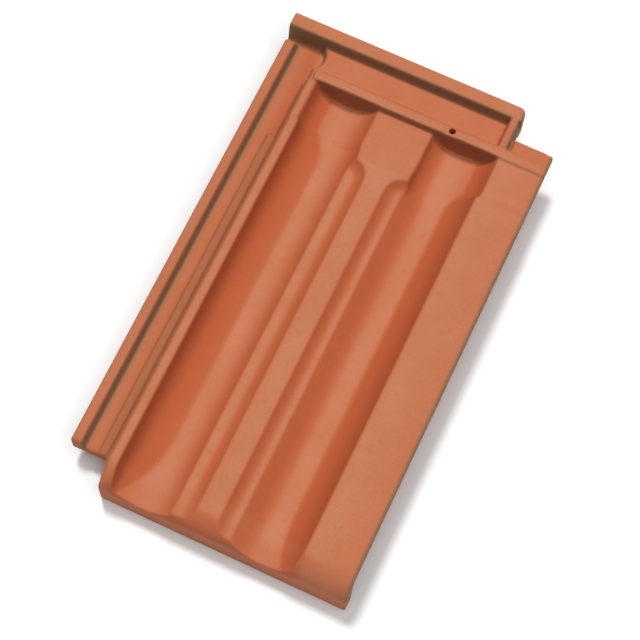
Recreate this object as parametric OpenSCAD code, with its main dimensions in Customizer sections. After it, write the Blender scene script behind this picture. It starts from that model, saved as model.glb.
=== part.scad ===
// Interlocking double-trough clay roof tile.
// One pressed and fired piece: side lock on the left, cover flap on the right,
// head lock at the far end, rolled nose at the near end. Millimetres, Z up,
// +Y towards the head of the tile, lying on its nibs and its front lip.

/* [Overall] */
// Overall width across the tile
tile_w = 245; // [235:1:300]
// Overall length from tail edge to head edge
tile_l = 430; // [360:1:520]
// Wall thickness of the fired sheet
wall = 11; // [9:0.5:13]
// Height of the flap top above the resting plane
flap_top = 49; // [46:0.5:59]

/* [Troughs] */
// Radius of the trough section
trough_r = 30; // [27:0.5:33]
// Depth of the trough floor below the flap top
trough_d = 23; // [19:0.5:26]
// Distance between the two trough centre lines
trough_pitch = 99; // [92:1:119]
// Extra trough radius in the zone the next tile laps over
lap_ease = 2; // [0.5:0.25:3]
// Length of the lapped zone, measured from the head edge
lap_l = 88; // [76:1:105]
// Step down of the flap and main ridge in the lapped zone
lap_step = 3; // [1:0.25:4]

/* [Centre rib] */
// Top of the centre rib below the flap top
rib_drop = 6; // [4:0.5:9]
// Extra step down of the centre rib in the lapped zone
block_step = 2; // [0.5:0.25:3]
// Width of the flat top of the centre rib
rib_w = 18.5; // [12:0.5:22]
// Top of the two shelves below the flap top
shelf_drop = 12; // [10:0.5:15]
// Width of the sloping side of the rib
rib_side = 4; // [2:0.5:6]
// Distance from head edge to the rounded start of the shelves
shelf_y = 98; // [96:1:125]
// Radius of the rounded start of the shelves
shelf_r = 15; // [10:0.5:15]

/* [Side lock] */
// Width of the side lock, outer face to the foot of the main ridge
lock_w = 29; // [28:0.5:34]
// Width of the top of the outer lock ridge
lock_ridge_w = 8; // [6:0.5:10]
// Height of the outer lock ridge above the groove floor
lock_ridge_h = 8.5; // [6:0.5:9.5]
// Width of the water groove
groove_w = 11; // [9:0.5:12]
// Width of the sloping side between the outer lock ridge and the groove floor
groove_side = 3.5; // [2:0.5:4]
// Height of the low second ridge above the groove floor
second_h = 2.5; // [1:0.5:4]
// Distance from head edge to the start of the second ridge
second_y = 102; // [60:1:140]
// Length at the tail left free of the side lock
lock_free = 23.5; // [18:0.5:36]
// Width of the main ridge top
main_ridge_w = 7.5; // [6:0.5:12]
// Width of the sloping flank between the side lock and the main ridge top
flank_w = 8; // [6:0.5:9]
// How far the flank's foot moves in towards the tail edge
flank_taper = 5; // [2:0.5:6]

/* [Cover flap] */
// Thickness of the cover flap
flap_t = 10.5; // [9:0.5:12]
// Width of the rib under the flap
flap_rib_w = 6; // [4:0.5:7]
// Gap left between mating faces
gap = 1; // [0.5:0.25:2]

/* [Head lock] */
// Depth of the head rim along the tile
rim_l = 12.5; // [9:0.5:15]
// Height of the rim and the transverse ridge above the head channel
rim_h = 11; // [7:0.5:12]
// Head channel floor below the flap top
channel_drop = 12.5; // [12:0.5:15]
// Distance from head edge to the near face of the transverse ridge
ridge_y = 50; // [46:0.5:60]
// Depth of the transverse ridge along the tile
ridge_l = 11; // [8:0.5:13]
// Width of the right leg of the rim
leg_w = 5.5; // [4:0.5:8]
// Width of the notch in the right corner of the head
notch_w = 35.5; // [32:0.5:38]
// Length of the notch in the right corner of the head
notch_l = 29; // [20:0.5:33]
// Radius of the rounded corner where the head channel drains into the groove
pocket_r = 12.5; // [8:0.5:13]
// Radius of the rim's rounded right corner, seen from above
corner_r = 6.5; // [3:0.5:8]
// Nail hole diameter
nail_d = 5.5; // [4:0.25:6.5]
// Nail hole centre from the left side
nail_x = 161.5; // [140:0.5:185]

/* [Tail] */
// Radius of the roll at the tail edge of the main ridge and the flap
nose_r = 23; // [16:0.5:25]
// Thickness of the front lip along the tile
lip_l = 11; // [8:0.5:14]

/* [Nibs] */
// Width of each batten nib
nib_w = 24; // [18:1:28]
// Length of each batten nib along the tile
nib_l = 14; // [10:0.5:18]
// Shift of each nib from its trough centre towards the side
nib_out = 8; // [0:0.5:9]
// Distance from head edge to the bearing face of the nibs
nib_y = 52; // [48:0.5:62]

/* [Hidden] */
$fn = 96;
clay = [0.80, 0.47, 0.33];
x0 = -tile_w / 2;
xr = tile_w / 2;
y0 = -tile_l / 2;
y1 = tile_l / 2;
floor_z = flap_top - trough_d;
cz = floor_z + trough_r;
half = sqrt(trough_r * trough_r - pow(cz - flap_top, 2));
ridge_x0 = x0 + lock_w + flank_w;
ridge_x1 = ridge_x0 + main_ridge_w;
tx1 = ridge_x1 + half;
tx2 = tx1 + trough_pitch;
rib_x = (tx1 + tx2) / 2;
rib_z = flap_top - rib_drop;
shelf_z = flap_top - shelf_drop;
flap_under = flap_top - flap_t;
groove_z = flap_under - 2 * gap - lock_ridge_h;
lock_under = groove_z - wall + 1;
groove_x = x0 + lock_ridge_w + groove_side;
cover = tile_w - (ridge_x0 - x0) + 1.5 * gap;
chan_z = flap_top - channel_drop;
rim_top = chan_z + rim_h;
lap_y = y1 - lap_l;
lap_top = flap_top - lap_step;
ry0 = y1 - ridge_y;
ry1 = ry0 + ridge_l;
rib_half = trough_pitch / 2 - sqrt(trough_r * trough_r - pow(cz - shelf_z, 2)) + 2;
soft = 2;
bevel = 1.5;
web_w = 12;
web_h = 9;
e = 0.01;

module along(y_from, y_to) {
    translate([0, y_to, 0]) rotate([90, 0, 0]) linear_extrude(height = y_to - y_from) children();
}

module across(x_from, x_to) {
    translate([x_from, 0, 0]) rotate([90, 0, 90]) linear_extrude(height = x_to - x_from) children();
}

// trough space with its outer top corner rounded; side is -1 left, 1 right
module trough_void(cx, r, top, side) {
    mz = floor_z + r;
    ccz = top - soft;
    dx = sqrt(pow(r + soft, 2) - pow(mz - ccz, 2));
    bx = dx * r / (r + soft);
    bz = mz - (mz - ccz) * r / (r + soft);
    translate([cx, mz]) circle(r = r);
    difference() {
        polygon([[cx + side * dx, top], [cx + side * dx, top + 9], [cx, top + 9],
                 [cx, bz], [cx + side * bx, bz]]);
        translate([cx + side * dx, ccz]) circle(r = soft);
    }
}

module sheet_disc(cx) {
    intersection() {
        translate([cx, cz]) circle(r = trough_r + wall);
        translate([cx - half - 5, 0]) square([2 * half + 10, shelf_z]);
    }
}

// side lock seen along the tile: groove floor and rounded outer ridge
module lock_floor() {
    translate([x0, lock_under]) square([lock_w + flank_w / 2, groove_z - lock_under]);
}

module lock_ridge() {
    h = lock_ridge_h;
    polygon([[x0, lock_under], [groove_x, lock_under], [groove_x, groove_z],
             [x0 + lock_ridge_w, groove_z + h - bevel], [x0 + lock_ridge_w - bevel, groove_z + h],
             [x0 + bevel, groove_z + h], [x0, groove_z + h - bevel]]);
}

module second_ridge() {
    gx = groove_x + groove_w;
    polygon([[gx, groove_z - 1], [gx + bevel, groove_z + second_h], [x0 + lock_w + 0.5, groove_z + second_h],
             [x0 + lock_w + 2, groove_z - 1]]);
}

// main ridge between the side lock and the first trough
module ridge_section(top) {
    polygon([[x0 + lock_w - 1, lock_under], [ridge_x1 + 9, lock_under], [ridge_x1 + 9, top - 12],
             [ridge_x1 + 3, top], [ridge_x0 + 1.2, top], [ridge_x0, top - 1],
             [x0 + lock_w, groove_z]]);
}

// cover flap with its rib and edge lip
module flap_section(top) {
    rx = groove_x + cover + (groove_w - flap_rib_w) / 2;
    polygon([[tx2 + trough_r - 8, flap_under], [xr - 2.5, flap_under],
             [xr, flap_under + 3], [xr - 0.8, top - bevel], [xr - 2, top],
             [tx2 + trough_r - 8, top]]);
    translate([rx, groove_z + 2]) square([flap_rib_w, flap_under - groove_z]);
    polygon([[xr - 8, flap_under + e], [xr - 7, flap_under - 2.5],
             [xr - 4, flap_under - 2.5], [xr - 2.5, flap_under + e]]);
}

// hollows under the centre rib and under the main ridge, which keep the clay near one thickness
module hollows() {
    b = 3;
    polygon([[rib_x - web_w / 2 - b, shelf_z - wall - 1], [rib_x - web_w / 2, rib_z - wall],
             [rib_x + web_w / 2, rib_z - wall], [rib_x + web_w / 2 + b, shelf_z - wall - 1]]);
    polygon([[ridge_x0 - 2, lock_under - 1], [ridge_x0 + b, lock_under + web_h],
             [ridge_x0 + b + 2, lock_under + web_h], [ridge_x0 + web_w - 2, lock_under - 1]]);
}

// section through the body; lap widens the troughs and lowers the tops
module body_section(lap) {
    top = lap ? lap_top : flap_top;
    r = lap ? trough_r + lap_ease : trough_r;
    out = lap ? lap_ease : 0;
    mid = lap ? rib_z - block_step : rib_z;
    difference() {
        union() {
            sheet_disc(tx1);
            sheet_disc(tx2);
            translate([rib_x - rib_half, shelf_z - wall]) square([2 * rib_half, mid - shelf_z + wall]);
            flap_section(top);
            ridge_section(top);
        }
        trough_void(tx1 - out, r, top, -1);
        trough_void(tx2 + out, r, top, 1);
        hollows();
    }
}

// the two shelves beside the centre rib, cut down from the rib top
module shelves() {
    h = rib_z - shelf_z;
    k = rib_side / h;
    far = y1 - shelf_y - shelf_r;
    for (s = [-1, 1]) {
        edge = rib_x + s * rib_w / 2;
        along(y0 - 1, far)
            polygon([[edge - s * k * 2, rib_z + 2], [edge + s * rib_side, shelf_z],
                     [edge + s * 24, shelf_z], [edge + s * 24, rib_z + 2]]);
        translate([edge + s * shelf_r, far, shelf_z])
            cylinder(r1 = shelf_r - rib_side, r2 = shelf_r + 2 * k, h = h + 2);
        across(min(edge + s * shelf_r, edge + s * 24), max(edge + s * shelf_r, edge + s * 24))
            polygon([[far - 1, shelf_z], [far + shelf_r - rib_side, shelf_z],
                     [far + shelf_r + 2 * k, rib_z + 2], [far - 1, rib_z + 2]]);
    }
}

// space beyond a quarter roll of radius r that starts level at height top
module roll_void(r, top) {
    difference() {
        translate([y0 - 5, top - r]) square([r + 5, r + 10]);
        translate([y0 + r, top - r]) circle(r = r);
    }
}

// rolls every high part down to the tail edge, the lower centre rib with a smaller radius
module nose_cut() {
    across(x0 - 1, xr + 1) roll_void(nose_r, flap_top);
    across(tx1, tx2) roll_void(nose_r - rib_drop, rib_z);
}

// draws the foot of the main ridge's flank in, along the length left free of the side lock
module flank_cut() {
    foot = x0 + lock_w + 2;
    translate([0, 0, -1]) linear_extrude(height = flap_top + 2)
        polygon([[x0 - 1, y0 - 1], [foot + flank_taper, y0 - 1], [foot + flank_taper, y0],
                 [foot, y0 + lock_free], [x0 - 1, y0 + lock_free]]);
}

// space outside the rim's rounded right corner
module corner_void() {
    translate([xr - notch_w - corner_r, y1 - corner_r, -1]) difference() {
        cube([corner_r + 1, corner_r + 1, flap_top + 2]);
        translate([0, 0, -1]) cylinder(r = corner_r, h = flap_top + 4);
    }
}

// head plate, rim along the head edge with its right leg, transverse ridge
module head() {
    px0 = ridge_x0 - 4;
    px1 = xr - notch_w;
    difference() {
        translate([px0, ry0, chan_z - wall]) cube([px1 - px0, y1 - ry0, wall]);
        translate([px0 - 7.5, y1 - rim_l - pocket_r, groove_z]) cylinder(r = pocket_r, h = wall + 5);
    }
    across(x0, px1)
        polygon([[y1, lock_under], [y1, rim_top - 1], [y1 - 1, rim_top], [y1 - rim_l + 1, rim_top],
                 [y1 - rim_l, rim_top - 1], [y1 - rim_l - 1.5, chan_z], [y1 - rim_l - 1.5, lock_under]]);
    along(ry0 + 2, y1 - 2)
        polygon([[px1, chan_z - wall], [px1, chan_z - 2], [px1 - 2.5, rim_top - 1], [px1 - 3.5, rim_top],
                 [px1 - 2.5 - leg_w, rim_top], [px1 - 3.5 - leg_w, rim_top - 1], [px1 - 5.5 - leg_w, chan_z],
                 [px1 - 5.5 - leg_w, chan_z - wall]]);
    across(px0 + 3, xr - 0.8)
        polygon([[ry0, chan_z - 5], [ry0, rim_top - 1], [ry0 + 1, rim_top], [ry1 - 4, rim_top],
                 [ry1 - 1, rim_top - 3], [ry1 + 2, chan_z], [ry1 + 2, chan_z - 5]]);
    // end walls of the two troughs
    for (cx = [tx1, tx2])
        intersection() {
            across(cx - half - 4, cx + half + 4)
                polygon([[ry0, chan_z], [ry0 - 1, floor_z - wall], [ry0 + wall - 2, floor_z - wall],
                         [ry0 + wall, chan_z]]);
            along(ry0 - 5, y1) translate([cx, cz]) circle(r = trough_r + wall);
        }
}

module nibs() {
    top = floor_z - 4;
    for (cx = [tx1 - nib_out, tx2 + nib_out])
        across(cx - nib_w / 2, cx + nib_w / 2)
            polygon([[y1 - nib_y, 0], [y1 - nib_y + nib_l - 4, 0], [y1 - nib_y + nib_l, 6],
                     [y1 - nib_y + nib_l, top], [y1 - nib_y, top]]);
}

// section of the closed front wall at the tail
module front_section() {
    difference() {
        polygon([[ridge_x0 - 1, 0], [xr, 0], [xr - 0.8, flap_top - bevel], [xr - 2, flap_top],
                 [ridge_x0 + 1.2, flap_top], [ridge_x0, flap_top - 1], [ridge_x0 - 1, groove_z]]);
        trough_void(tx1, trough_r, flap_top, -1);
        trough_void(tx2, trough_r, flap_top, 1);
        translate([tx1, rib_z]) square([trough_pitch, flap_top]);
    }
}

module roof_tile() {
    color(clay) difference() {
        union() {
            difference() {
                union() {
                    along(y0, lap_y) body_section(false);
                    along(lap_y - e, ry0 + 1) body_section(true);
                    along(y0, y0 + lip_l) front_section();
                }
                shelves();
                nose_cut();
                flank_cut();
            }
            along(y0 + lock_free, y1 - 1) lock_floor();
            along(y0 + lock_free, y1 - rim_l - 6) lock_ridge();
            along(y0 + lock_free, y1 - second_y) second_ridge();
            // flap corner beside the head lock
            along(ry0, y1 - notch_l) intersection() {
                flap_section(lap_top);
                translate([xr - notch_w, 0]) square([notch_w, flap_top]);
            }
            head();
            nibs();
        }
        corner_void();
        translate([x0 + nail_x, ry0 + ridge_l / 2 + 0.5, -1]) cylinder(d = nail_d, h = flap_top + 10);
    }
}

roof_tile();
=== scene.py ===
from math import radians

import bpy
import numpy as np
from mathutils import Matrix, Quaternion, Vector


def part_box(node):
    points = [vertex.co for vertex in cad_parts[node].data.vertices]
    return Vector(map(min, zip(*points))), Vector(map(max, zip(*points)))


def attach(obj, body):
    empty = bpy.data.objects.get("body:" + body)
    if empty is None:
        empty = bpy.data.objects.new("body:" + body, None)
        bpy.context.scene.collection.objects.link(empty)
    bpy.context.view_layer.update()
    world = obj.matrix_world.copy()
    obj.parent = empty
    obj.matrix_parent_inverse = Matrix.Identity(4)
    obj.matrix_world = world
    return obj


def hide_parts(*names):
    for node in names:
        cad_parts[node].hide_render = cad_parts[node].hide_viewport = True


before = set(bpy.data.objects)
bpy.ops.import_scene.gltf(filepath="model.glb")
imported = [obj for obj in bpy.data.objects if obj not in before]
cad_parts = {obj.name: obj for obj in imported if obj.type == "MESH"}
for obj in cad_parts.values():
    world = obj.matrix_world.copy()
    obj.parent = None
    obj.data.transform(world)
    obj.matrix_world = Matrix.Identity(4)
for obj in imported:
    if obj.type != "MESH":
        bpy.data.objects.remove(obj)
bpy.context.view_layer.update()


# ---------------------------------------------------------------- the pressed and fired tile
# One piece of clay, pressed between two moulds, trimmed, dried and fired. The upper mould leaves
# the troughs, the rib and the locks, the lower one the shells, the nibs and the closed front.
# Sizes are millimetres: across from the left side, along from the head edge, up from the ground.

low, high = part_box("roof_tile")
MM = 0.001
tile_w = (high.x - low.x) / MM
tile_l = (high.y - low.y) / MM
flap_z = (high.z - low.z) / MM
floor_z = flap_z - 23.0
groove_z = 28.0
sheet = 11.0


def ramp(t, start, stop):
    """Straight rise from 0 at start to 1 at stop, level outside them."""
    return np.clip((t - start) / (stop - start), 0.0, 1.0)


def ease(t, start, stop):
    """The same rise with soft ends: three times its square less twice its cube."""
    rise = ramp(t, start, stop)
    return rise * rise * (3 - 2 * rise)


# side lock, left of the main ridge: it hooks under the flap of the tile beside it
lock_ridge_z = groove_z + 8.5
lock_ridge_side = (8.8, 11.8)
lock_ridge_start = (18.5, 20.5)
second_ridge_z = groove_z + 2.5
second_left = (22.5, 24.2)
second_right = (29.5, 31.0)
second_start = 102.0
lock_end = tile_l - 23.5


def side_lock(across, along):
    """Outer lock ridge, water groove and low second ridge: straight sided bands on the groove floor."""
    outer = (lock_ridge_z - groove_z) * (1 - ramp(across, *lock_ridge_side))
    outer = outer * ramp(along, *lock_ridge_start)
    band = ramp(across, *second_left) - ramp(across, *second_right)
    second = (second_ridge_z - groove_z) * band * ease(along, second_start - 1, second_start + 2)
    return groove_z + np.maximum(outer, second)


# the two troughs, which widen by a step in the zone that the next tile up the roof laps over
trough_r = 30.0
left_trough = 73.67
right_trough = left_trough + 99.0
rib_centre = (left_trough + right_trough) / 2
floor_crown = 160.0
lap_l = 88.0
lap_widening = 2.0

# inner walls: where each starts off its trough's centre, its radius, and the sine of its steepest part
left_inner = (0.0, trough_r, 0.95)
left_inner_lapped = (-lap_widening, trough_r + lap_widening, 0.95)
right_inner_head = (6.4, 19.0, 0.93)
right_inner = (2.7, 25.5, 0.566)

# outer walls: where the crease at the foot and the edge at the top run, as along and then across
left_crease = (
    [82, 86, 92, 98, 104, 110, 370, 390, 404, 415, 424, 430],
    [58, 61.6, 65.4, 68.4, 70.6, 71.5, 71.5, 69.0, 64.0, 58.0, 52.0, 49.0])
left_edge = ([lap_l - 1, lap_l + 1], [42.4, 44.5])
left_lean = 0.37
left_power = 6.0
right_crease = (
    [84, 88, 93, 98, 103, 392, 415, 430],
    [190, 187, 184.4, 182.4, 181.5, 181.5, 184.5, 190.0])
right_edge = ([lap_l - 1, lap_l + 1], [205.2, 202.2])
right_lean = 0.59
right_power = 3.0


def inner_wall(out, start, radius, steepest):
    """Circle of the radius over its foot at start, then straight on once its slope's sine is steepest."""
    out = out - start
    bend = np.clip(out, 0, radius * steepest)
    slope = steepest / np.sqrt(1 - steepest ** 2)
    arc = floor_z + radius - np.sqrt(radius ** 2 - bend ** 2)
    return arc + slope * np.maximum(out - radius * steepest, 0)


def outer_wall(out, crease, edge, top, lean, power):
    """Floor that rises with the square of the distance out, and past the crease a wall up to the top.

    With t from 0 at the crease to 1 at the edge, the wall is lean t plus the rest of t to a power."""
    foot = floor_z + crease ** 2 / floor_crown
    t = np.clip((out - crease) / (edge - crease), 0, 1.3)
    wall = foot + (top - foot) * (lean * t + (1 - lean) * t ** power)
    return np.where(out < crease, floor_z + np.maximum(out, 0) ** 2 / floor_crown, wall)


def troughs(across, along, top):
    """Lower of the two troughs: outer walls rise to the land's height, inner walls are round.

    Over the lapped zone and just below it, one wall is mixed into the next by a rise from 0 to 1."""
    lapped = 1 - ramp(along, lap_l - 1, lap_l + 1)
    out = left_trough - across
    crease = left_trough - np.interp(along, *left_crease)
    edge = left_trough - np.interp(along, *left_edge)
    wall = outer_wall(out, crease, edge, top, left_lean, left_power - 2.0 * lapped)
    rounded = inner_wall(-out, *left_inner)
    rounded += (inner_wall(-out, *left_inner_lapped) - rounded) * lapped
    left = np.where(out > 0, wall, rounded)

    out = across - right_trough
    crease = np.interp(along, *right_crease) - right_trough
    edge = np.interp(along, *right_edge) - right_trough
    wall = outer_wall(out, crease, edge, top, right_lean, right_power)
    gentle = ease(along, lap_l + 10, lap_l + 24)
    rounded = inner_wall(-out, *right_inner_head)
    rounded += (inner_wall(-out, *right_inner) - rounded) * gentle
    right = np.where(out > 0, wall, rounded)
    return np.where(across < rib_centre, left, right)


# main ridge, flap and centre rib: the lands, lower under the lap, and the rib's coved lower shelves
lap_step = 3.0
block_step = 2.0
ridge_foot = 29.0
flank_w = 8.0
flank_z = 48.0
ridge_bevel = 1.2
rib_z = flap_z - 6.0
rib_w = 18.5
shelf_z = flap_z - 12.0
shelf_start = 98.5
shelf_r = 15.5
cove_w = 12.0
cove_power = 2.3

# tail: the high parts roll down to the trough floor
ridge_nose = 23.0
rib_nose = 17.0


def nose(along, radius):
    """Quarter roll: a circle of that radius that ends upright on the tail edge at trough floor height."""
    past = np.clip(along - (tile_l - radius), 0, radius)
    return floor_z + np.sqrt(radius ** 2 - past ** 2)


def body_top(across, along):
    """Lowest of the lands, the two troughs and the roll at the tail, over the side lock's bands.

    A shelf falls away from the rib by one less the power of a rise across its cove."""
    step = 1 - ease(along, lap_l - 6, lap_l + 6)
    off = np.abs(across - rib_centre)
    to_centre = np.hypot(np.maximum(rib_w / 2 + shelf_r - off, 0),
                         np.maximum(shelf_start + shelf_r - along, 0))
    cove = 1 - ramp(shelf_r - to_centre, 0, cove_w)
    rib = rib_z - block_step * step - (rib_z - shelf_z) * (1 - cove ** cove_power)
    outer_land = flap_z - lap_step * step
    flank = np.interp(across, [ridge_foot, ridge_foot + flank_w, ridge_foot + flank_w + ridge_bevel],
                      [groove_z, flank_z, flap_z])
    between = (across > left_trough) & (across < right_trough)
    land = np.where(between, rib, np.minimum(flank, outer_land))
    roll = np.where(between, nose(along, rib_nose), nose(along, ridge_nose))
    body = np.minimum(np.minimum(land, troughs(across, along, outer_land)), roll)
    locked = (across < ridge_foot + 2) & (along < lock_end)
    return np.where(locked, np.maximum(body, side_lock(across, along)), body)


# head lock: rim, channel with a drain pocket, cross ridge, right leg and notched flap corner
channel_z = flap_z - 12.5
channel_left = 33.0
pocket = (25.5, 25.0)
pocket_r = 12.5
rim_l = 12.5
rim_z = channel_z + 11.0
head_right = tile_w - 35.5
head_notch = 29.0
leg_profile = ([198.5, 200.5, 201.5], [channel_z, rim_z - 1, rim_z])
leg_fall = (206.6, head_right - 0.4)
leg_foot = ([27.0, 29.0], [35.0, 41.0])
corner_profile = ([head_right, 211.7], [41.0, flap_z - lap_step])
cross_near = 50.0
cross_profile = ([38.4, 38.6, 39.0, 40.6, 42.6], [groove_z, channel_z, 44.6, 46.8, rim_z])
cross_left = (35.0, 38.5)
lock_reach = 22.0

# nail hole in the cross ridge, on a pad pressed a little lower
nail = (161.5, 44.0)
nail_r = 2.75
pad_left = (154.2, 155.0)
pad_right = (163.0, 169.0)
pad_depth = 1.0


def head_top(across, along):
    """Highest of the channel floor, the rim, its right leg, the cross ridge and the flap corner.

    Each is a line of straight pieces from one height to the next, across or along."""
    into_groove = np.maximum(channel_left - across,
                             pocket_r - np.hypot(across - pocket[0], along - pocket[1]))
    floor = channel_z - (channel_z - groove_z) * ease(into_groove, -1.5, 2.5)
    rim = np.interp(along, [rim_l - 1, rim_l, rim_l + 1.5, rim_l + 2.7],
                    [rim_z, rim_z - 1, channel_z, groove_z])
    foot = np.interp(along, *leg_foot)
    leg = np.interp(across, *leg_profile)
    leg = leg - (rim_z - foot) * ramp(across, *leg_fall)
    leg = np.where((across > leg_profile[0][0]) & (across < head_right), leg, groove_z)
    corner = np.interp(across, *corner_profile)
    corner = np.where((across < head_right) | (along < head_notch - 2.0), groove_z, corner)
    cross = np.interp(along, *cross_profile)
    pad = ramp(across, *pad_left) * (1 - ease(across, *pad_right)) * ramp(along, 37.0, 39.0)
    cross = groove_z + (cross - pad_depth * pad - groove_z) * ramp(across, *cross_left)
    lock = np.where(across < lock_reach, side_lock(across, along), groove_z)
    return np.maximum.reduce([floor, rim, leg, corner, cross, lock])


def pressed_top(across, along):
    """Height of the upper face: the head lock up to the near face of the cross ridge, then the body."""
    at_head = 1 - ramp(along, cross_near - 0.4, cross_near + 0.4)
    body = body_top(across, along)
    return body + (head_top(across, along) - body) * at_head


# underside: round shells below the troughs, hollow webs, the flap's rib and lip, and the closed front
shell_w = 34.2
rib_web_h = 6.0
rib_web_side = (6.0, 9.0)
rib_web_end = (28.0, 30.0)
ridge_web_h = 9.0
ridge_web_centre = 41.0
ridge_web_side = (1.0, 6.0)
ridge_web_end = (53.0, 55.0)
flap_under = flap_z - 10.5
flap_rib_h = 8.5
flap_rib_sides = ((222.5, 224.5), (228.5, 230.5))
flap_lip_h = 2.5
flap_lip_sides = ((236.5, 237.5), (241.0, 242.5))
lock_under = groove_z - sheet + 1
plate_under = channel_z - sheet
groove_wall = (32.0, 34.0)
rim_under_end = (14.0, 16.0)
end_wall_face = (39.0, 41.0)
lip_l = 11.0

# the two nibs that hook over the batten
nib_w = 24.0
nib_l = 14.0
nib_face = 52.0
nib_shift = 8.0
nib_back_z = 6.0


def pressed_under(across, along):
    """Height of the lower face: the lowest of shells, webs, flap, head plate, nibs and closed front.

    The flap, the webs and the nibs are bands whose sides are straight rises across."""
    outer_r = trough_r + sheet
    shells = []
    for centre in (left_trough, right_trough):
        off = np.abs(across - centre)
        arc = floor_z + trough_r - np.sqrt(outer_r ** 2 - np.minimum(off, outer_r) ** 2)
        shells.append(np.where(off < shell_w, arc, flap_under))
    shell = np.minimum(*shells)
    off = np.abs(across - rib_centre)
    under_rib = shelf_z - sheet + rib_web_h * (1 - ramp(off, *rib_web_side))
    under_rib = under_rib + 12.5 * ramp(off, *rib_web_end)
    off = np.abs(across - ridge_web_centre)
    under_ridge = lock_under + ridge_web_h * (1 - ramp(off, *ridge_web_side))
    under_ridge = under_ridge + 20.5 * ramp(across, *ridge_web_end)
    flap_rib = flap_rib_h * (ramp(across, *flap_rib_sides[0]) - ramp(across, *flap_rib_sides[1]))
    flap_lip = flap_lip_h * (ramp(across, *flap_lip_sides[0]) - ramp(across, *flap_lip_sides[1]))
    flap = flap_under - flap_rib - flap_lip
    body = np.minimum.reduce([shell, under_rib, under_ridge, flap])
    front = 1 - ramp(along, tile_l - lip_l - 1, tile_l - lip_l)
    body = body * front

    plate = np.interp(across, [*groove_wall, head_right, head_right + 3.5],
                      [lock_under, plate_under, plate_under, flap_under])
    plate = np.where(across > head_right, plate - flap_rib - flap_lip, plate)
    rim = lock_under + (flap_under - lock_under) * ramp(along, *rim_under_end)
    end_wall = np.minimum(shell, plate) + 0 * along
    head = np.minimum(plate, rim)
    head = head + (np.minimum(end_wall, head) - head) * ramp(along, *end_wall_face)
    at_head = 1 - ramp(along, cross_near, cross_near + 1.0)
    under = body + (head - body) * at_head

    nib_z = np.interp(along, [nib_face - nib_l, nib_face - nib_l + 4], [nib_back_z, 0.0])
    for centre in (left_trough - nib_shift, right_trough + nib_shift):
        inside = np.minimum(nib_w / 2 - np.abs(across - centre),
                            np.minimum(nib_face - along, along - (nib_face - nib_l)))
        under = under + (nib_z - under) * ramp(inside, -0.8, 0.8)
    return under


# both faces are sampled on a fine even grid and blurred, the way slip and handling round sharp edges
pitch = 0.5
margin = 6.0
top_softness = 0.5
under_softness = 1.0


def blurred(field, spread):
    """Mean of the field under a bell of that spread in millimetres, along one axis and then the other."""
    reach = int(np.ceil(3 * spread / pitch))
    steps = np.arange(-reach, reach + 1)
    bell = np.exp(-0.5 * (steps * pitch / spread) ** 2)
    bell /= bell.sum()
    for axis in (0, 1):
        padded = np.pad(field, [(reach, reach) if a == axis else (0, 0) for a in (0, 1)], mode="edge")
        size = field.shape[axis]
        field = sum(w * np.take(padded, np.arange(k, k + size), axis) for k, w in enumerate(bell))
    return field


def read_off(field, across, along):
    """The field between its samples: the four nearest, weighted by nearness."""
    a = np.clip((across + margin) / pitch, 0, field.shape[0] - 1.001)
    b = np.clip((along + margin) / pitch, 0, field.shape[1] - 1.001)
    i, j = a.astype(int), b.astype(int)
    fa, fb = a - i, b - j
    near = field[i, j] * (1 - fa) + field[i + 1, j] * fa
    far = field[i, j + 1] * (1 - fa) + field[i + 1, j + 1] * fa
    return near * (1 - fb) + far * fb


sample_across = np.arange(-margin, tile_w + margin + pitch / 2, pitch)
sample_along = np.arange(-margin, tile_l + margin + pitch / 2, pitch)
samples = np.meshgrid(np.clip(sample_across, 0, tile_w), np.clip(sample_along, 0, tile_l), indexing="ij")
top_field = blurred(pressed_top(*samples), top_softness)
under_field = blurred(pressed_under(*samples), under_softness)


def spaced(*runs):
    """Grid lines: each run goes on from the last one to its own stop, in that many equal steps."""
    lines = [np.array([0.0])]
    for stop, steps in runs:
        start = lines[-1][-1]
        lines.append(start + (stop - start) * np.arange(1, steps + 1) / steps)
    return np.concatenate(lines)


# the side lock is cut off short of the tail, up to the flank, which is drawn in towards the tail
flank_cut = 31.0
flank_taper = 5.0

# the surface's own grid is closer where the section bends, and has a square box round the nail hole
hole_box = 4.8
hole_cells = 16
across_lines = spaced(
    (2, 4), (6, 2), (13, 10), (21.5, 3), (25.5, 5), (29, 2), (flank_cut, 2), (40, 10), (43, 2), (49, 10),
    (60, 8), (94, 13), (101, 8), (108, 6), (115.5, 10), (131, 7), (138, 10), (145, 6), (152, 8),
    (nail[0] - hole_box, 4), (nail[0] + hole_box, hole_cells), (184, 8), (196, 8), (head_right, 18),
    (212.5, 5), (tile_w - 4, 8), (tile_w, 8))
along_lines = spaced(
    (2, 4), (10, 3), (15.5, 9), (28, 12), (head_notch, 2), (31, 4), (34.5, 4), (nail[1] - hole_box, 6),
    (nail[1] + hole_box, hole_cells), (52, 6), (80, 10), (94, 15), (98, 3), (119, 20), (400, 62),
    (lock_end, 6), (413, 6), (425, 12), (tile_l, 10))
U, S = np.meshgrid(across_lines, along_lines, indexing="ij")


def edge_distance(across, along):
    """Distance to the nearest outer edge of the tile, taken straight across and straight along."""
    left = np.where(along > lock_end, flank_cut, 0.0)
    right = np.where(along < head_notch, head_right, tile_w)
    head = np.where(across > head_right, head_notch, 0.0)
    tail = np.where(across < flank_cut, lock_end, tile_l)
    return np.minimum.reduce([across - left, right - across, along - head, tail - along])


def edge_fall(distance, radius):
    """How far a rounded edge has dropped at that distance from the outline: a quarter circle."""
    inside = np.clip(radius - distance, 0, radius)
    return radius - np.sqrt(radius ** 2 - inside ** 2)


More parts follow.
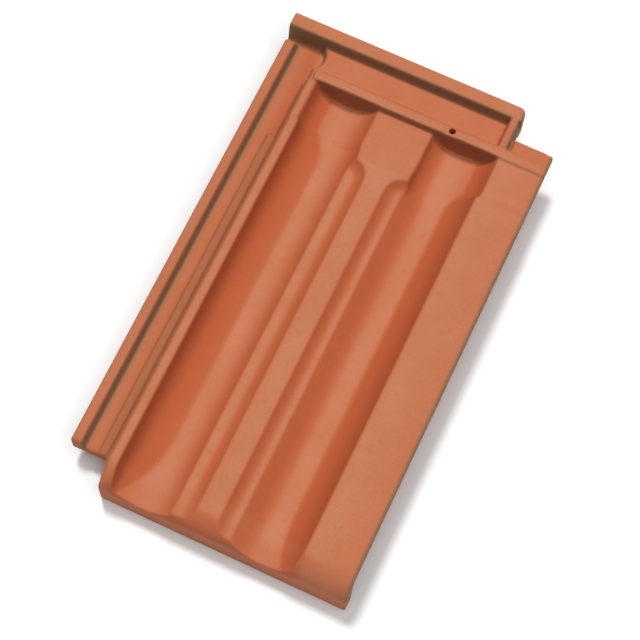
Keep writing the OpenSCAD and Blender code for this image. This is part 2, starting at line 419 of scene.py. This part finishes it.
def rounded_corner(across, along, corner, toward, radius):
    """Moves a square corner of the grid onto a quarter circle.

    Each offset is shortened by the root of one less half the other's square."""
    p = np.clip(1 - (across - corner[0]) * toward[0] / radius, 0, 1)
    q = np.clip(1 - (along - corner[1]) * toward[1] / radius, 0, 1)
    inside = (across - corner[0]) * toward[0] >= -1e-6
    inside &= (along - corner[1]) * toward[1] >= -1e-6
    shift_p = np.where(inside, p - p * np.sqrt(1 - q ** 2 / 2), 0) * radius
    shift_q = np.where(inside, q - q * np.sqrt(1 - p ** 2 / 2), 0) * radius
    return across + toward[0] * shift_p, along + toward[1] * shift_q


def round_hole(across, along):
    """Turns the square rings of the grid round the nail hole into circles.

    A point moves out along its own direction to its ring's radius, fully at the hole, not at the box."""
    p, q = across - nail[0], along - nail[1]
    ring = np.maximum(np.abs(p), np.abs(q))
    length = np.maximum(np.hypot(p, q), 1e-9)
    inner = hole_box / 2
    mix = 1 - ramp(ring, inner, hole_box)
    radius = nail_r + (ring - inner)
    within = ring < hole_box - 1e-6
    p_new = p * (1 - mix) + p / length * radius * mix
    q_new = q * (1 - mix) + q / length * radius * mix
    return np.where(within, nail[0] + p_new, across), np.where(within, nail[1] + q_new, along)


# edge radii of the upper face: flap, side lock, the lock's tail end, and the tail's lip
cut_r = 1.5
flap_edge_r = 3.2
lock_edge_r = 3.6
lock_tail_r = 3.5
tail_edge_r = 0.8
hole_bevel = 0.4

plan_u, plan_s = round_hole(U, S)
edge_r = np.where(U > tile_w - 5, flap_edge_r, cut_r)
edge_r = np.where((U < 5) & (S > 14), lock_edge_r, edge_r)
edge_r = np.where((U < flank_cut) & (S > lock_end - 6), lock_tail_r, edge_r)
edge_r = np.where(S > tile_l - 4, tail_edge_r, edge_r)
distance = edge_distance(U, S)
top_z = read_off(top_field, plan_u, plan_s) - edge_fall(distance, edge_r)
under_z = read_off(under_field, plan_u, plan_s) + edge_fall(distance, cut_r)
hole_edge = np.abs(np.maximum(np.abs(U - nail[0]), np.abs(S - nail[1])) - hole_box / 2) < 1e-6
top_z -= hole_bevel * hole_edge

# plan outline: rounded corners (place, way inward, radius) and the flank's taper towards the tail
outline_corners = [
    ((0, 0), (1, 1), 1.5),
    ((head_right, 0), (-1, 1), 6.5),
    ((tile_w, head_notch), (-1, 1), 2.5),
    ((tile_w, tile_l), (-1, -1), 1.5),
    ((0, lock_end), (1, -1), 2.0)]
for corner, toward, radius in outline_corners:
    plan_u, plan_s = rounded_corner(plan_u, plan_s, corner, toward, radius)
plan_u = plan_u + flank_taper * ramp(S, lock_end, tile_l) * (1 - ease(U, flank_cut, 50.0))

# cells that hold clay: not the tail end of the lock, the notch in the head's corner, or the nail hole
mid_u = (across_lines[:-1] + across_lines[1:])[:, None] / 2
mid_s = (along_lines[:-1] + along_lines[1:])[None, :] / 2
clay = ~((mid_u < flank_cut) & (mid_s > lock_end)) & ~((mid_u > head_right) & (mid_s < head_notch))
clay &= ~((np.abs(mid_u - nail[0]) < hole_box / 2) & (np.abs(mid_s - nail[1]) < hole_box / 2))


def closed_shell(clay, plan_u, plan_s, top_z, under_z):
    """Upper and lower grid over the cells that hold clay, with upright walls of four bands on every rim.

    A rim is an edge that only one cell has. The outer two bands are a fifth of the wall, at most 0.7."""
    count = plan_u.size
    number = np.arange(count).reshape(plan_u.shape)
    quads = np.stack([number[:-1, :-1], number[:-1, 1:], number[1:, 1:], number[1:, :-1]], -1)[clay]
    starts, ends = quads.ravel(), np.roll(quads, -1, axis=1).ravel()
    rim = ~np.isin(starts * count + ends, ends * count + starts)
    starts, ends = starts[rim], ends[rim]
    rim_nodes, order = np.unique(starts, return_inverse=True)
    end_order = np.searchsorted(rim_nodes, ends)
    u, s = plan_u.ravel(), plan_s.ravel()
    top, under = top_z.ravel(), under_z.ravel()
    points = [np.stack([u, s, top], 1), np.stack([u, s, under], 1)]
    gap = (top - under)[rim_nodes]
    band = np.minimum(0.7, gap * 0.2)
    for drop in (band, gap * 0.5, gap - band):
        points.append(np.stack([u[rim_nodes], s[rim_nodes], top[rim_nodes] - drop], 1))
    ring = np.arange(len(rim_nodes))
    inner_rows = [2 * count + k * len(rim_nodes) + ring for k in range(3)]
    rows = [rim_nodes] + inner_rows + [count + rim_nodes]
    faces = [quads, quads[:, ::-1] + count]
    for upper, lower in zip(rows[:-1], rows[1:]):
        faces.append(np.stack([upper[end_order], upper[order], lower[order], lower[end_order]], 1))
    points, faces = np.concatenate(points), np.concatenate(faces)
    used, faces = np.unique(faces, return_inverse=True)
    return points[used], faces.reshape(-1, 4), used


points, faces, used = closed_shell(clay, plan_u, plan_s, top_z, under_z)
place = np.stack([low.x + points[:, 0] * MM, high.y - points[:, 1] * MM, low.z + points[:, 2] * MM], 1)
tile_mesh = bpy.data.meshes.new("tile_body")
tile_mesh.from_pydata(place.tolist(), [], faces.tolist())
tile_mesh.polygons.foreach_set("use_smooth", np.ones(len(faces), bool))
tile_mesh.update()
tile_body = bpy.data.objects.new("tile_body", tile_mesh)
bpy.context.scene.collection.objects.link(tile_body)

# tone, a deeper orange: painted shade, most on the steep walls of the troughs, a little on the flap
# and the apron, and on the lock's low second ridge; a deeper orange also on the locks, head and block
x, y = samples
rise_across, rise_along = np.gradient(top_field, pitch)
steep = np.degrees(np.arctan(np.hypot(rise_across, rise_along)))
wall_shade_share = np.interp(x, [0, 36, 40, 46, 72, 76, 100, 146, 170, 174, 202, 205, 245],
                       [0.1, 0.1, 0.2, 1.0, 1.0, 0.85, 0.8, 0.8, 0.8, 1.0, 1.0, 0.1, 0.1])
on_block = (y > 52) & (y < 97) & (x > 99) & (x < 146)
wall_shade_share = np.where((y < 50) | on_block, 0.05, wall_shade_share)
shared_wall = (x > 76) & (x < 98.5)
# painted shade: the steeper the wall, the deeper the orange
slope_shade = np.where(shared_wall, ease(steep, 8, 46), ease(steep, 1, 24))
fading = 1 - 0.45 * ease(y, tile_l - 35, tile_l - 8)
# painted shade on the flap, deeper towards its right edge
flap_shade = np.interp(x, [204, 208, 220, 232, 243], [0.0, 0.05, 0.22, 0.30, 0.42]) * ramp(y, 30, 60)
# a deeper orange on the side lock, deepest on the low second ridge, where it is painted shade
lock_tone_and_shade = np.interp(x, [0, 8, 13, 20, 23, 30, 34], [0.4, 0.35, 0.5, 0.6, 0.9, 0.9, 0.1]) * (y > 15)
head_tone = np.interp(y, [11, 16], [0.25, 0.45]) * (1 - ramp(y, 40, 47))
head_tone = head_tone * np.maximum(ramp(x, 22, 38), 1 - ramp(y, 14, 18))
block_tone = 0.32 * on_block
# painted shade on the apron at the tail
apron_shade = 0.30 * ramp(y, tile_l - 22, tile_l - 14) * (x > 36)
base_tone_and_shade = np.maximum.reduce([flap_shade, lock_tone_and_shade, head_tone, block_tone, apron_shade])
tone_and_shade_field = blurred(np.clip(wall_shade_share * slope_shade * fading + base_tone_and_shade, 0, 1), 1.0)

# painted shade in brown: on the faces that fall away behind the rim and the cross ridge, beside the
# lock's ridges, on its low second ridge, on the right leg's outer side, and along the flap's edge
shade_behind_rim = np.clip(-rise_along, 0, 1) * np.interp(y, [40, 45, 55, 60], [1.0, 0.6, 0.6, 0.0])
lock_ridge_shade = np.interp(x, [8.5, 9.8, 12, 13.5, 17, 20], [0.1, 1.0, 1.0, 0.3, 0.08, 0.15])
lock_ridge_shade = lock_ridge_shade * (y > 18) * (x < 32)
second_ridge_shade = np.interp(x, [20, 23.5, 30, 32], [0, 0.45, 0.45, 0]) * ramp(y, 90, 110)
leg_side_shade = ramp(x, 206.4, 207.6) * (1 - ramp(x, 209.5, 211.0)) * (y > 3) * (y < 40)
flap_edge_shade = 0.75 * ramp(x, 241.8, 243.2) * ramp(y, 29, 32)
painted_shade_field = blurred(np.maximum.reduce([shade_behind_rim, lock_ridge_shade, second_ridge_shade, leg_side_shade, flap_edge_shade]), 0.6)

# the side walls take one value each: the deeper orange as painted shade on all of them, and the brown
# painted shade only on the right, in the notch and at the lock's tail; the underside takes a little
# orange
upper = used < U.size
side_wall = used >= 2 * U.size
shaded_side = (points[:, 0] > tile_w - 1) & (points[:, 1] < tile_l - 2)
shaded_side |= (points[:, 0] > head_right - 1) & (points[:, 1] < head_notch + 1)
shaded_side |= (points[:, 1] > lock_end - 2) & (points[:, 0] < flank_cut - 1)
shaded_side &= side_wall
# stored on the surface: the deeper orange, partly painted shade, and the brown painted shade
for name, field, wall, under in [
        ("tone_and_shade", tone_and_shade_field, 0.45, 0.15),
        ("painted_shade", painted_shade_field, 0.6 * shaded_side, 0.0)]:
    elsewhere = np.where(side_wall, wall, under)
    values = np.where(upper, read_off(field, points[:, 0], points[:, 1]), elsewhere)
    tile_mesh.attributes.new(name, "FLOAT", "POINT").data.foreach_set("value", values.astype(np.float32))

# the fired colours, with the deep orange partly and the shade brown wholly painted shade
clay_dull = (0.535, 0.190, 0.088, 1)
clay_bright = (0.565, 0.210, 0.110, 1)
deep_tone_and_shade = (0.505, 0.113, 0.039, 1)
smudge_brown = (0.40, 0.15, 0.075, 1)
shade_brown = (0.27, 0.155, 0.080, 1)


def fired_clay():
    """Fired terracotta: clouds of two tones, a deeper orange that is partly painted shade, a brown that
    is painted shade, small smudges, a fine grain, and a matt rough face.
    """
    made = bpy.data.materials.new("fired_clay")
    made.use_nodes = True
    nodes, links = made.node_tree.nodes, made.node_tree.links
    shader = nodes["Principled BSDF"]
    where = nodes.new("ShaderNodeTexCoord").outputs["Object"]

    def noise(scale, detail, roughness=0.5):
        """Cloudy noise from 0 to 1, with about as many clouds in a metre as the scale says."""
        node = nodes.new("ShaderNodeTexNoise")
        node.inputs["Scale"].default_value = scale
        node.inputs["Detail"].default_value = detail
        node.inputs["Roughness"].default_value = roughness
        links.new(where, node.inputs["Vector"])
        return node.outputs["Fac"]

    def spread(value, start, stop, least, most):
        """Straight rise from least at start to most at stop, level outside them."""
        node = nodes.new("ShaderNodeMapRange")
        node.inputs["From Min"].default_value = start
        node.inputs["From Max"].default_value = stop
        node.inputs["To Min"].default_value = least
        node.inputs["To Max"].default_value = most
        links.new(value, node.inputs["Value"])
        return node.outputs["Result"]

    def mixed(share, first, second, blend="MIX"):
        """The first colour blended towards the second by that share: a Mix node's colour sockets."""
        node = nodes.new("ShaderNodeMix")
        node.data_type = "RGBA"
        node.blend_type = blend
        for socket, value in ((0, share), (6, first), (7, second)):
            if isinstance(value, (tuple, float)):
                node.inputs[socket].default_value = value
            else:
                links.new(value, node.inputs[socket])
        return node.outputs[2]

    def painted(name):
        """The surface's deeper orange, partly painted shade, or its brown painted shade, from 0 to 1."""
        node = nodes.new("ShaderNodeAttribute")
        node.attribute_name = name
        return node.outputs["Fac"]

    clouds = spread(noise(30, 3, 0.55), 0.35, 0.65, 0, 1)
    colour = mixed(clouds, clay_dull, clay_bright)
    # the deeper orange: painted shade on the steep walls, and a plain deeper orange elsewhere
    colour = mixed(painted("tone_and_shade"), colour, deep_tone_and_shade)
    smudges = spread(noise(150, 3), 0.62, 0.74, 0, 0.30)
    colour = mixed(smudges, colour, smudge_brown)
    # the brown painted shade
    colour = mixed(painted("painted_shade"), colour, shade_brown)
    grain = spread(noise(1500, 2), 0.3, 0.7, 0.93, 1.06)
    colour = mixed(1.0, colour, grain, "MULTIPLY")
    links.new(colour, shader.inputs["Base Color"])
    links.new(spread(noise(300, 3), 0.3, 0.7, 0.74, 0.92), shader.inputs["Roughness"])
    shader.inputs["Specular IOR Level"].default_value = 0.25

    height = nodes.new("ShaderNodeMath")
    height.operation = "MULTIPLY_ADD"
    links.new(noise(160, 2), height.inputs[0])
    height.inputs[1].default_value = 4.0
    links.new(noise(1100, 3), height.inputs[2])
    bump = nodes.new("ShaderNodeBump")
    bump.inputs["Strength"].default_value = 0.5
    bump.inputs["Distance"].default_value = 0.0001
    links.new(height.outputs[0], bump.inputs["Height"])
    links.new(bump.outputs["Normal"], shader.inputs["Normal"])
    return made


tile_mesh.materials.append(fired_clay())
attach(tile_body, "root")
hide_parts("roof_tile")


# ---------------------------------------------------------------- floor and light
# A pale matt studio table a hair below the tile, a fairly soft lamp from beyond the head on the
# left, a very soft one from overhead, and a weak white surround.

floor_reach = 3.0
floor_drop = 0.0001
floor_mesh = bpy.data.meshes.new("studio_floor")
floor_mesh.from_pydata(
    [(-floor_reach, -floor_reach, -floor_drop), (floor_reach, -floor_reach, -floor_drop),
     (floor_reach, floor_reach, -floor_drop), (-floor_reach, floor_reach, -floor_drop)],
    [], [(0, 1, 2, 3)])
studio_floor = bpy.data.objects.new("studio_floor", floor_mesh)
bpy.context.scene.collection.objects.link(studio_floor)
floor_paint = bpy.data.materials.new("floor_paint")
floor_paint.use_nodes = True
floor_shader = floor_paint.node_tree.nodes["Principled BSDF"]
floor_shader.inputs["Base Color"].default_value = (0.93, 0.955, 0.96, 1)
floor_shader.inputs["Roughness"].default_value = 0.9
floor_shader.inputs["Specular IOR Level"].default_value = 0.0
floor_mesh.materials.append(floor_paint)

# each lamp's name, strength, width in degrees and direction
lamps = [
    ("key_lamp", 1.87, 11, (0.26, -0.33, -1)),
    ("top_lamp", 1.44, 50, (-0.22, 0.12, -1))]
for name, energy, width, direction in lamps:
    lamp_data = bpy.data.lights.new(name, "SUN")
    lamp_data.energy = energy
    lamp_data.angle = radians(width)
    lamp = bpy.data.objects.new(name, lamp_data)
    lamp.rotation_euler = Vector(direction).to_track_quat("-Z", "Y").to_euler()
    bpy.context.scene.collection.objects.link(lamp)

world = bpy.data.worlds.new("studio_fill")
world.use_nodes = True
world.node_tree.nodes["Background"].inputs["Color"].default_value = (1, 1, 1, 1)
world.node_tree.nodes["Background"].inputs["Strength"].default_value = 0.08
bpy.context.scene.world = world
bpy.context.scene.view_settings.view_transform = "Standard"


# ---------------------------------------------------------------- camera
# Looks down on the tile from a little past the tail and the right side, and is rolled a few degrees
# about its line of sight, so the tile lies aslant.

camera_data = bpy.data.cameras.new("camera")
camera_data.sensor_width = 36
camera_data.lens = 109.76
camera_data.clip_end = 20
camera = bpy.data.objects.new("camera", camera_data)
camera.location = (0.21303, -0.52084, 1.47582)
aim = Vector((0.00890, -0.01815, 0.03))
roll = radians(3.17)
turned = (aim - camera.location).to_track_quat("-Z", "Y") @ Quaternion((0, 0, 1), roll)
camera.rotation_euler = turned.to_euler()
bpy.context.scene.collection.objects.link(camera)
bpy.context.scene.camera = camera
